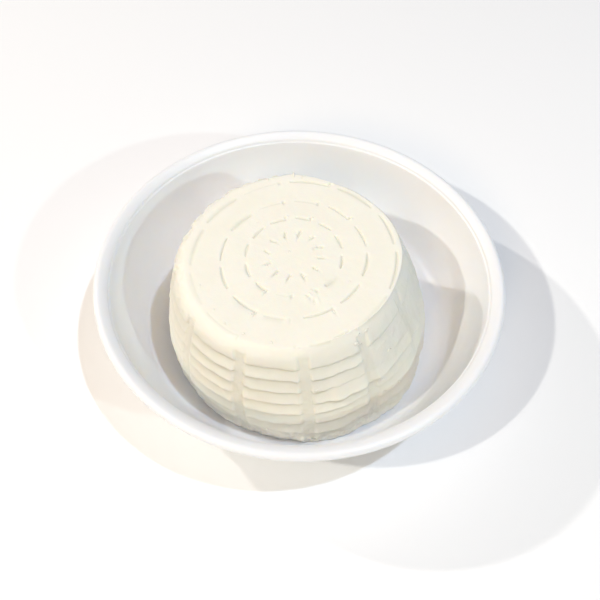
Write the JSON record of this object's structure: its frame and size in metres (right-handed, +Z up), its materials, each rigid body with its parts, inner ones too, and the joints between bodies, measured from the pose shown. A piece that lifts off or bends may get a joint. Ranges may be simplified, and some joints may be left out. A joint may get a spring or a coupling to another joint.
{
  "type": "ricotta in bowl",
  "caption": "Round fresh ricotta with the ridges of its basket mould, standing upside down in a round white plastic bowl.",
  "frame": {"origin": "on the surface it stands on, under the middle of the bowl", "axes": "+Z up; +X to the right and +Y away from the viewer, as in the picture"},
  "size_m": [0.1994, 0.1994, 0.0692],
  "materials": {
    "bowl": "smooth moulded white plastic, softly glossy",
    "ricotta": "moist, fine curd, warm white, slightly uneven, soft sheen"
  },
  "bodies": {
    "root": {"bowl": "bowl", "ricotta": "ricotta"}
  },
  "joints": []
}
